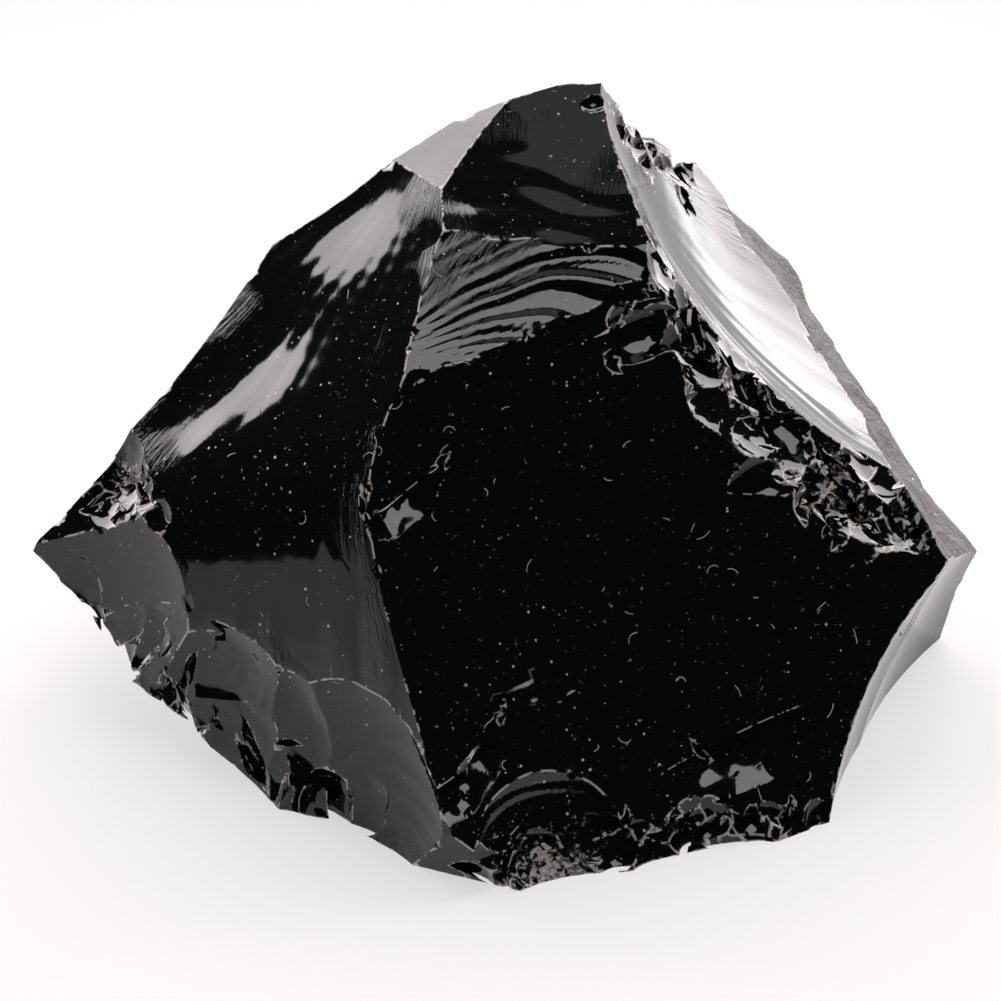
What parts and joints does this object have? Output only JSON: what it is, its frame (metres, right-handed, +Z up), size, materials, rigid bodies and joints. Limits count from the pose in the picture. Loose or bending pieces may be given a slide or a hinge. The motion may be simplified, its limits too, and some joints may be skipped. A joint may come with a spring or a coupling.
{
  "type": "obsidian chunk",
  "caption": "Hand-sized chunk of black volcanic glass, broken on every side into smooth hollow scars that meet in sharp ridges, resting on a flat base.",
  "frame": {"origin": "under the middle of the chunk's bounding box, on the surface that it rests on", "axes": "+Z up, the broad front scar faces -Y, the chunk is widest along X"},
  "size_m": [0.0846, 0.0736, 0.0514],
  "materials": {
    "obsidian": "freshly broken volcanic glass, black and glossy, with crushed edges and specks of glass dust"
  },
  "bodies": {
    "root": {"obsidian_chunk": "obsidian"}
  },
  "joints": []
}
